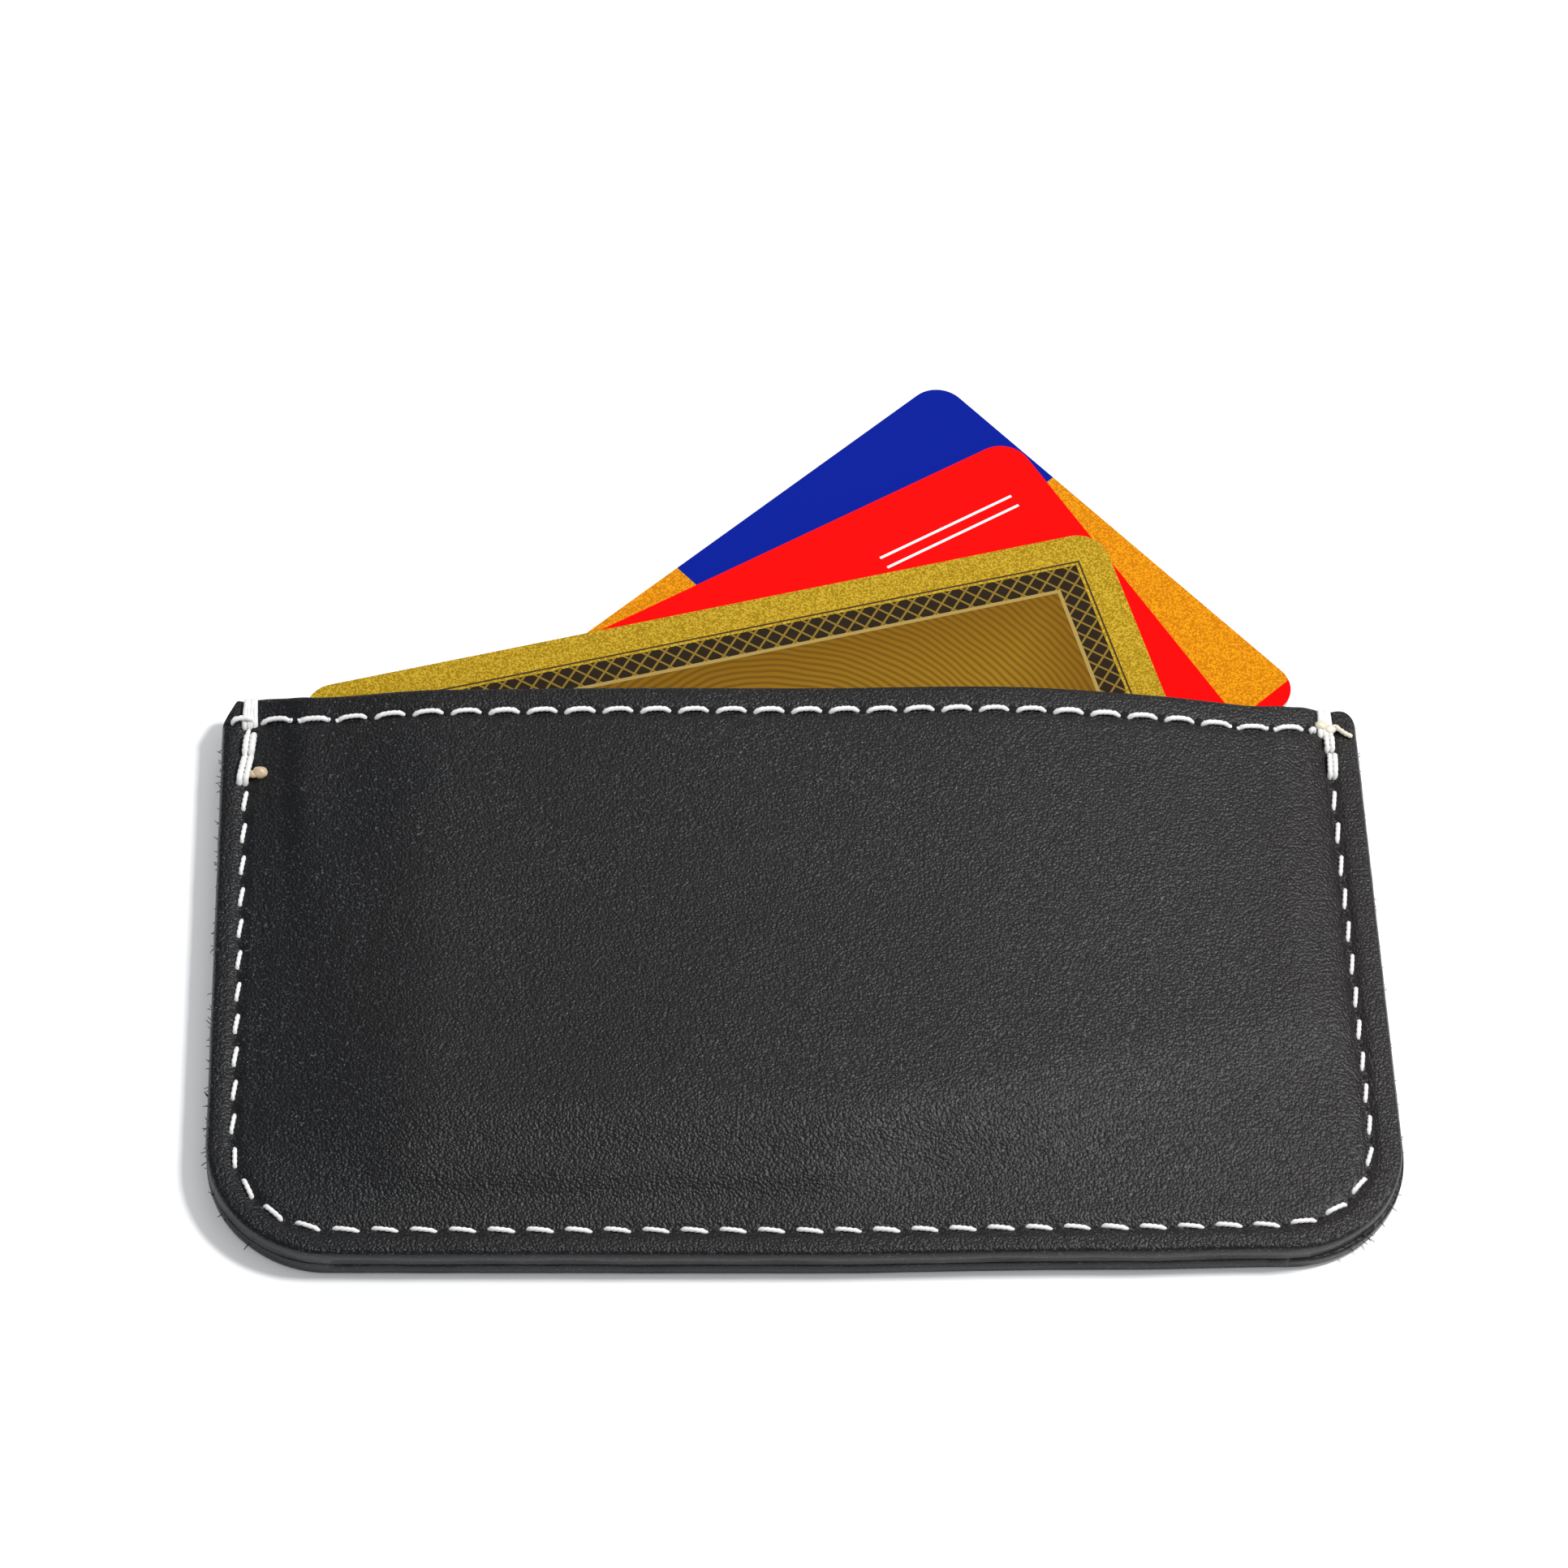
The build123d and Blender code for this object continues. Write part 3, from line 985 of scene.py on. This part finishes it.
@dataclass(frozen=True)
class Lump:
    """One lump of melted thread: its shift from the seam, its place along it and its size."""

    shift: float
    y: float
    size: float
    height: float


@dataclass
class Thread:
    """All the sewing: the seam, the rows along the mouth, the tacks, wraps and melted ends."""

    leather: Leather
    white: bpy.types.Material
    melted: dict[Side, bpy.types.Material]
    seed: int = 21
    back_z: float = 0.46
    row_lift: float = 0.12
    tack_lift: float = 0.12
    end_gap: float = 0.36
    back_row_half: float = 50.2
    back_row_count: int = 26
    front_row_count: int = 28
    crowding: float = 1.2
    wrap_depth: float = 1.90
    wrap_reach: float = 1.72
    wrap_radius: float = 0.31
    wrap_floor: float = 0.36
    wrap_squareness: float = 0.42
    fat_radius: tuple[float, float] = (0.37, 0.31)

    def __post_init__(self) -> None:
        """Work out where the seam runs and start the random draws."""
        self.sewing = self.leather.sewing
        self.front_z = 2.0 * self.leather.thickness
        self.left_x = -self.leather.half_width + self.sewing.left_inset
        self.right_x = self.leather.half_width - self.sewing.right_inset
        self.dice = random.Random(self.seed)

    def finish_piece(
        self, bm: Mesh, node: str, finish: bpy.types.Material
    ) -> None:
        """Make a piece of the mesh, with open ends closed, and let it replace its CAD solids.

        Args:
            bm: The mesh, which is freed.
            node: The CAD node it replaces.
            finish: Its material.
        """
        bmesh.ops.holes_fill(bm, edges=[edge for edge in bm.edges if edge.is_boundary], sides=0)
        self.leather.settle(bm)
        piece = link(bm, node + "_strands", finish)
        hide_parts(node)
        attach(piece, SLEEVE)

    def stitch(
        self,
        bm: Mesh,
        start: Vector,
        end: Vector,
        up: Vector,
        radius: float,
        slant: float,
        bend: float = 0.0,
    ) -> None:
        """Add one stitch that rises out of a hole, lies on the leather and dives into the next.

        Args:
            bm: The mesh that gets it.
            start: Where it leaves its hole.
            end: Where it goes into the next.
            up: The surface's outward direction.
            radius: The strand's radius.
            slant: How far the end lies to the side of the start.
            bend: How far the middle bows to the side.
        """
        across = (end - start).cross(up).normalized()
        lift, dive = radius * 0.55, radius * 3.1
        tilt = self.dice.uniform(-0.05, 0.05)
        swell = self.dice.uniform(0.93, 1.06)

        def path(share: float) -> Vector:
            """Follow the stitch.

            Args:
                share: Share of the way from the start to the end.

            Returns:
                The point there.
            """
            bow = abs(2.0 * share - 1.0)
            height = lift + 0.22 * radius * (1.0 - bow * bow) - dive * bow**7
            aside = slant * (share - 0.5 + tilt) - bend * (1.0 - bow * bow)
            return start.lerp(end, share) + up * height + across * aside

        Strand(radius * swell).lay(bm, path, up, (end - start).length)

    def seam_points(self) -> list[Vector]:
        """Place the seam's holes: even, and a little closer up to the right end of the mouth.

        Returns:
            The holes, from the left end of the mouth round to the right.
        """
        sewing, leather = self.sewing, self.leather
        top = leather.half_height - sewing.start_drop
        foot = -leather.half_height + sewing.bottom_inset
        side = top - foot - sewing.corner
        arc = math.pi / 2.0 * sewing.corner
        base = self.right_x - self.left_x - 2.0 * sewing.corner
        total = 2.0 * (side + arc) + base
        count = round(total / sewing.pitch)

        def point(travel: float) -> Vector:
            """Walk along the seam.

            Args:
                travel: Distance from its left end in millimetres.

            Returns:
                The point there.
            """
            if travel <= side:
                return Vector((self.left_x, top - travel, 0.0))
            travel -= side
            if travel <= arc:
                angle = math.pi + travel / sewing.corner
                centre = Vector((self.left_x + sewing.corner, foot + sewing.corner, 0.0))
                return centre + Vector((math.cos(angle), math.sin(angle), 0.0)) * sewing.corner
            travel -= arc
            if travel <= base:
                return Vector((self.left_x + sewing.corner + travel, foot, 0.0))
            travel -= base
            if travel <= arc:
                angle = 1.5 * math.pi + travel / sewing.corner
                centre = Vector((self.right_x - sewing.corner, foot + sewing.corner, 0.0))
                return centre + Vector((math.cos(angle), math.sin(angle), 0.0)) * sewing.corner
            return Vector((self.right_x, foot + sewing.corner + travel - arc, 0.0))

        holes = []
        for step in range(count + 1):
            crowded = self.crowding * smooth((step - count + 10.0) / 8.0)
            holes.append(point(min(total * step / count + crowded, total)))
        return holes

    def face(self, x: float, y: float) -> float:
        """Return the height of the front leather's face at a point."""
        return self.front_z + self.leather.swell(x, y) - self.leather.dent(x, y)

    def seam(self) -> None:
        """Sew the seam's front and back threads."""
        holes = self.seam_points()
        for node, z, up in (
            ("seam_thread_front", None, Vector((0, 0, 1))),
            ("seam_thread_back", self.back_z, Vector((0, 0, -1))),
        ):
            bm = bmesh.new()
            for first, second in zip(holes, holes[1:]):
                along = (second - first).normalized()
                gap = along * (0.52 + 0.16 * abs(along.y))
                start, end = first + gap, second - gap
                for point in (start, end):
                    point.z = self.face(point.x, point.y) if z is None else z
                slant = 0.34 if z is None else 0.1
                self.stitch(bm, start, end, up, self.sewing.strand * 0.46, slant)
            self.finish_piece(bm, node, self.white)

    def mouth_row(
        self, node: str, height: Callable[[float], float], up: Vector, extra: bool
    ) -> None:
        """Sew one row along the mouth.

        Args:
            node: The CAD node it replaces.
            height: Height of the surface at each X.
            up: The surface's outward direction.
            extra: Whether the row runs down the slopes at both ends, past the seam on the left.
        """
        y = self.leather.half_height - self.sewing.row_inset
        bm = bmesh.new()
        half, count = self.back_row_half, self.back_row_count
        marks = [-half + 2.0 * half * step / count for step in range(count + 1)]
        if extra:
            first = -self.leather.half_width + self.sewing.row_start
            count = self.front_row_count
            marks = [first + self.sewing.row_pitch * step for step in range(count + 1)]
            marks += [self.right_x - 1.0]
        if extra and up.z > 0:
            marks.insert(0, marks[0] - 2.9)
        for left, right in zip(marks, marks[1:]):
            from_x, to_x = left + self.end_gap, right - self.end_gap
            start, end = Vector((from_x, y, height(from_x))), Vector((to_x, y, height(to_x)))
            if left < self.left_x - 1.0:
                start.z, end.z = start.z + 0.45, end.z + 0.45
            radius = self.sewing.row_strand / 2.0
            self.stitch(bm, start, end, up, radius, -0.16 * up.z, 0.20 * up.z)
        self.finish_piece(bm, node, self.white)

    def rows(self) -> None:
        """Sew the four rows along the mouth."""
        leather = self.leather
        y = leather.half_height - self.sewing.row_inset
        up, down = Vector((0, 0, 1)), Vector((0, 0, -1))

        def outside(x: float) -> float:
            """Return the height of the row on the front leather's face."""
            return self.face(x, y) + self.row_lift

        def inside(x: float) -> float:
            """Return the height of the row inside the front leather."""
            return leather.thickness + leather.pocket(x, y) + leather.gape(x, y) + 0.30

        self.mouth_row("front_mouth_thread_outside", outside, up, True)
        self.mouth_row("front_mouth_thread_inside", inside, down, True)
        self.mouth_row("back_mouth_thread_outside", lambda x: 0.56, down, False)
        self.mouth_row("back_mouth_thread_inside", lambda x: leather.thickness - 0.5, up, False)

    def tack(self, side: Side) -> None:
        """Sew the two fat doubled stitches that lie over the seam's first ones.

        Args:
            side: The end of the mouth.
        """
        if side is Side.LEFT:
            name, seam_x, radius = "left_backstitch", self.left_x, self.fat_radius[0]
            runs = (FatStitch(26.9, 24.3, 0.30, 0.26), FatStitch(24.4, 21.0, 0.15, -0.25))
        else:
            name, seam_x, radius = "right_backstitch", self.right_x, self.fat_radius[1]
            runs = (FatStitch(27.9, 26.1, 0.0, 0.15), FatStitch(25.8, 22.9, 0.15, 0.15))
        bm = bmesh.new()
        z = self.front_z + self.tack_lift
        for run in runs:
            for strand in (-0.8 * radius, 0.8 * radius):
                start = Vector((seam_x + run.top_shift + strand, run.top, z))
                end = Vector((seam_x + run.foot_shift + strand, run.foot, z))
                self.stitch(bm, start, end, Vector((0, 0, 1)), radius, 0.18, 0.10 * strand)
        self.finish_piece(bm, name, self.white)

    def wrap(self, side: Side) -> None:
        """Lay the loops that go over the mouth edge of both panels, close together as one band.

        Args:
            side: The end of the mouth.
        """
        centre_x = self.left_x + 0.27 if side is Side.LEFT else self.right_x - 0.20
        middle_z = self.front_z / 2.0 + 0.14
        centre = Vector((0.0, self.leather.half_height - self.wrap_depth, middle_z))
        half = Vector((0.0, self.wrap_reach, middle_z))
        bm = bmesh.new()
        for strand, lean in ((-0.46, 0.10), (-0.15, -0.08), (0.16, 0.09), (0.46, -0.06)):
            x = centre_x + strand

            def path(share: float) -> Vector:
                """Follow the loop.

                Args:
                    share: Share of the way round.

                Returns:
                    The point there.
                """
                cosine, sine = math.cos(2.0 * math.pi * share), math.sin(2.0 * math.pi * share)
                round_y = math.copysign(abs(cosine) ** self.wrap_squareness, cosine)
                round_z = math.copysign(abs(sine) ** self.wrap_squareness, sine)
                z = max(centre.z + half.z * round_z, self.wrap_floor)
                return Vector((x + lean * round_y, centre.y + half.y * round_y, z))

            loop = Strand(self.wrap_radius, rings=64, ply_depth=0.16)
            loop.lay(bm, path, Vector((1, 0, 0)), 14.0)
        name = "left_edge_wrap" if side is Side.LEFT else "right_edge_wrap"
        self.finish_piece(bm, name, self.white)

    def melted_end(self, side: Side) -> None:
        """Make the melted thread end: lumps run together, and a tail at the right.

        Args:
            side: The end of the mouth.
        """
        if side is Side.LEFT:
            low_y = 22.1
            lumps = [Lump(0.85, low_y - 0.15, 0.55, 0.34), Lump(1.45, low_y, 0.78, 0.55)]
            node, seam_x = "left_thread_end", self.left_x
        else:
            low_y = self.leather.half_height - 2.7
            lumps = [
                Lump(-0.62, low_y + 0.3, 0.68, 0.44),
                Lump(0.25, low_y - 0.1, 0.66, 0.42),
                Lump(0.85, low_y + 0.1, 0.46, 0.40),
            ]
            node, seam_x = "right_thread_end", self.right_x
        bm = bmesh.new()
        for lump in lumps:
            x = seam_x + lump.shift
            base_z = self.front_z + self.leather.swell(x, lump.y) + 0.28
            shape = Matrix.Diagonal((lump.size, lump.size * 0.8, lump.height, 1.0))
            place = Matrix.Translation((x, lump.y, base_z)) @ shape
            bmesh.ops.create_icosphere(bm, subdivisions=3, radius=1.0, matrix=place)
        for vert in bm.verts:
            vert.co.z += 0.07 * math.sin(vert.co.x * 5.0) * math.sin(vert.co.y * 6.0 + 1.0)
        if side is Side.RIGHT:
            tail = Vector((seam_x + 0.8, low_y + 0.2, 4.80))

            def path(share: float) -> Vector:
                """Return a point of the tail for a share from 0 to 1."""
                fall = -1.15 * share * (1.6 - 0.6 * share)
                return tail + Vector((1.7 * share, fall, -0.22 * share))

            Strand(0.27).lay(bm, path, Vector((0, 0, 1)), 2.4)
        self.finish_piece(bm, node, self.melted[side])

    def holes(self, finish: bpy.types.Material) -> None:
        """Paint shade into the stitch holes: flat near-black spots at each hole, sunk just under the
        leather's face, as one piece.

        Args:
            finish: Their material.
        """
        row_y = self.leather.half_height - self.sewing.row_inset
        spots = [(point.x, point.y, 0.42, 0.30) for point in self.seam_points()]
        first = -self.leather.half_width + self.sewing.row_start
        for step in range(1, self.front_row_count + 1):
            spots.append((first + self.sewing.row_pitch * step, row_y + 0.36, 0.50, 0.66))
        bm = bmesh.new()
        # painted shade: each spot is a flat near-black lens at a hole, not a real hole
        for x, y, wide, tall in spots:
            shape = Matrix.Diagonal((wide, tall, 0.07, 1.0))
            place = Matrix.Translation((x, y, self.face(x, y) - 0.02)) @ shape
            bmesh.ops.create_icosphere(bm, subdivisions=2, radius=1.0, matrix=place)
        self.leather.settle(bm)
        piece = link(bm, "stitch_hole_shade", finish)
        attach(piece, SLEEVE)

    def build(self) -> None:
        """Sew everything."""
        self.seam()
        self.rows()
        for side in Side:
            self.tack(side)
            self.wrap(side)
            self.melted_end(side)


@dataclass
class Fibres:
    """Stray leather fibres along the cut edges of the back panel."""

    count: int = 340
    radius: float = 0.05
    right_share: float = 0.72
    seed: int = 4

    def build(self, leather: Leather, finish: bpy.types.Material) -> None:
        """Make the fibres as one piece that rides on the sleeve.

        Args:
            leather: The panels that they stand out of.
            finish: Their material.
        """
        dice = random.Random(self.seed)
        bm = bmesh.new()
        for _ in range(self.count):
            y = dice.uniform(-leather.half_height + 1.5, leather.half_height - 4.0)
            side = 1 if dice.random() < self.right_share else -1
            root = Vector((side * (leather.edge_x(y) - 0.35), y, dice.uniform(0.5, 2.0)))
            out = side * dice.uniform(0.40, 0.95)
            reach = Vector((out, dice.uniform(-0.7, 0.7), dice.uniform(-0.2, 0.4)))
            curl = Vector((0.0, dice.uniform(-0.5, 0.5), dice.uniform(-0.2, 0.2)))

            def path(share: float) -> Vector:
                """Return a point of the fibre for a share from 0 to 1."""
                return root + reach * share + curl * share * share

            fibre = Strand(self.radius, rings=4, around=4, ply_depth=0.0)
            fibre.lay(bm, path, Vector((0.1, 0.2, 1.0)), 1.0)
        leather.settle(bm)
        piece = link(bm, "edge_fibres", finish)
        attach(piece, SLEEVE)


# ------------------------------------------------------------------ cards
@dataclass
class Cards:
    """The three cards, which keep their CAD solids and get their prints."""

    rear: CardPlace = CardPlace(3.07, 26.88, 41.87)
    middle: CardPlace = CardPlace(1.10, 22.22, 30.60)
    front: CardPlace = CardPlace(-1.89, 17.45, 14.63)

    def build(self) -> None:
        """Give each layer of each card its finish."""
        edge = PlasticFinish("card_edge", (0.80, 0.79, 0.76, 1.0), 0.5).make()
        plain = PlasticFinish("card_back_print", (0.66, 0.66, 0.64, 1.0), 0.35).make()
        tape = PlasticFinish("magnetic_tape", (0.022, 0.018, 0.016, 1.0), 0.45).make()
        panel = PlasticFinish("signature_panel", (0.80, 0.80, 0.77, 1.0), 0.7).make()
        places = {Print.TWO_TONE: self.rear, Print.RED: self.middle, Print.GOLD: self.front}
        for design, place in places.items():
            layers = {
                "core": edge,
                "back_film": plain,
                "stripe": tape,
                "signature": panel,
                "face_film": CardFinish(design, place).make(),
            }
            for layer, finish in layers.items():
                node = f"{design.value}_{layer}"
                materials = bpy.data.objects[node].data.materials
                materials.clear()
                materials.append(finish)
                LOG.info("%s: %s", node, finish.name)


# ------------------------------------------------------------------ studio
@dataclass(frozen=True)
class Lamp:
    """A square area lamp: its place and side in metres, and its power in watts."""

    name: str
    place: tuple[float, float, float]
    size: float
    energy: float


@dataclass
class Studio:
    """A white table, light from the right, and the camera: lengths in millimetres."""

    camera_at: tuple[float, float, float] = (-34.21, -264.45, 424.43)
    yaw: float = 0.13823
    elevation: float = 0.96886
    roll: float = 0.12283
    lens: float = 116.07
    sensor: float = 36.0
    shift: tuple[float, float] = (-0.04337, 0.0039)
    table_half: float = 1500.0
    table_glow: float = 0.08
    sky_strength: float = 0.62
    sky_sheen: float = 0.12
    lamps: tuple[Lamp, Lamp] = (
        Lamp("key", (0.37, 0.05, 0.62), 0.10, 4.4),
        Lamp("sheen", (0.02, 0.55, 0.48), 0.30, 0.45),
    )

    def floor(self) -> None:
        """Lay the table: white to the eye, and still shaded."""
        bm = bmesh.new()
        bmesh.ops.create_grid(bm, x_segments=1, y_segments=1, size=self.table_half)
        nodes = Nodes("table_white")
        nodes.put("Base Color", (0.86, 0.87, 0.88, 1.0))
        nodes.put("Roughness", 0.9)
        nodes.put("Specular IOR Level", 0.1)
        seen = nodes.add("ShaderNodeLightPath").outputs["Is Camera Ray"]
        nodes.put("Emission Color", (1.0, 1.0, 1.0, 1.0))
        glow = nodes.times(seen, self.table_glow)
        nodes.put("Emission Strength", glow)
        table = link(bm, "table", nodes.material)
        table.data.transform(Matrix.Translation((0.0, 0.0, -0.00005)))

    def hang(self, lamp: Lamp) -> None:
        """Hang a lamp so that it points at the sleeve.

        Args:
            lamp: What it is and where it hangs.
        """
        data = bpy.data.lights.new(lamp.name, "AREA")
        data.size, data.energy = lamp.size, lamp.energy
        place = Vector(lamp.place)
        hung = bpy.data.objects.new(lamp.name, data)
        hung.location = place
        toward = Vector((0, 0.01, 0)) - place
        hung.rotation_euler = toward.to_track_quat("-Z", "Y").to_euler()
        bpy.context.scene.collection.objects.link(hung)

    def camera(self) -> None:
        """Set the camera: it looks down on the table, turned a little to the side."""
        flat = math.cos(self.elevation)
        ahead = Vector((math.sin(self.yaw) * flat, math.cos(self.yaw) * flat, -math.sin(self.elevation)))
        level = Vector((math.cos(self.yaw), -math.sin(self.yaw), 0.0))
        upright = level.cross(ahead)
        right = level * math.cos(self.roll) + upright * math.sin(self.roll)
        up = upright * math.cos(self.roll) - level * math.sin(self.roll)
        data = bpy.data.cameras.new("camera")
        data.lens, data.sensor_width = self.lens, self.sensor
        data.shift_x, data.shift_y = self.shift
        data.clip_start = 0.01
        camera = bpy.data.objects.new("camera", data)
        axes = Matrix((right, up, -ahead)).transposed().to_4x4()
        camera.matrix_world = Matrix.Translation(Vector(self.camera_at) * MM) @ axes
        bpy.context.scene.collection.objects.link(camera)
        bpy.context.scene.camera = camera

    def build(self) -> None:
        """Set up the table, the lamps, the world and the camera."""
        scene = bpy.context.scene
        scene.view_settings.view_transform = "Standard"
        world = bpy.data.worlds.new("room")
        world.use_nodes = True
        tree = world.node_tree
        rays = tree.nodes.new("ShaderNodeLightPath")
        sky = tree.nodes["Background"]
        sky.inputs["Color"].default_value = (0.97, 0.98, 1.0, 1.0)
        strength = tree.nodes.new("ShaderNodeMix")
        strength.inputs["A"].default_value = self.sky_strength
        strength.inputs["B"].default_value = self.sky_sheen
        tree.links.new(rays.outputs["Is Glossy Ray"], strength.inputs["Factor"])
        tree.links.new(strength.outputs["Result"], sky.inputs["Strength"])
        scene.world = world
        self.floor()
        for lamp in self.lamps:
            self.hang(lamp)
        self.camera()


def main() -> None:
    """Dress the whole model."""
    logging.basicConfig(level=logging.INFO)
    Studio().build()
    black = LeatherFinish().make()
    leather = Leather.from_frame(Sewing())
    leather.build(black)
    # painted shade: a near-black finish for the spots in the stitch holes
    dark = PlasticFinish("painted_hole_shade", (0.003, 0.003, 0.004, 1.0), 0.9).make()
    white = ThreadFinish("white_thread", (0.92, 0.92, 0.90, 1.0)).make()
    melted = {
        Side.LEFT: ThreadFinish("scorched_thread", (0.66, 0.52, 0.34, 1.0), 0.3).make(),
        Side.RIGHT: ThreadFinish("melted_thread", (0.82, 0.76, 0.60, 1.0), 0.3).make(),
    }
    thread = Thread(leather, white, melted)
    thread.build()
    thread.holes(dark)
    Fibres().build(leather, black)
    Cards().build()


if __name__ == "__main__":
    main()
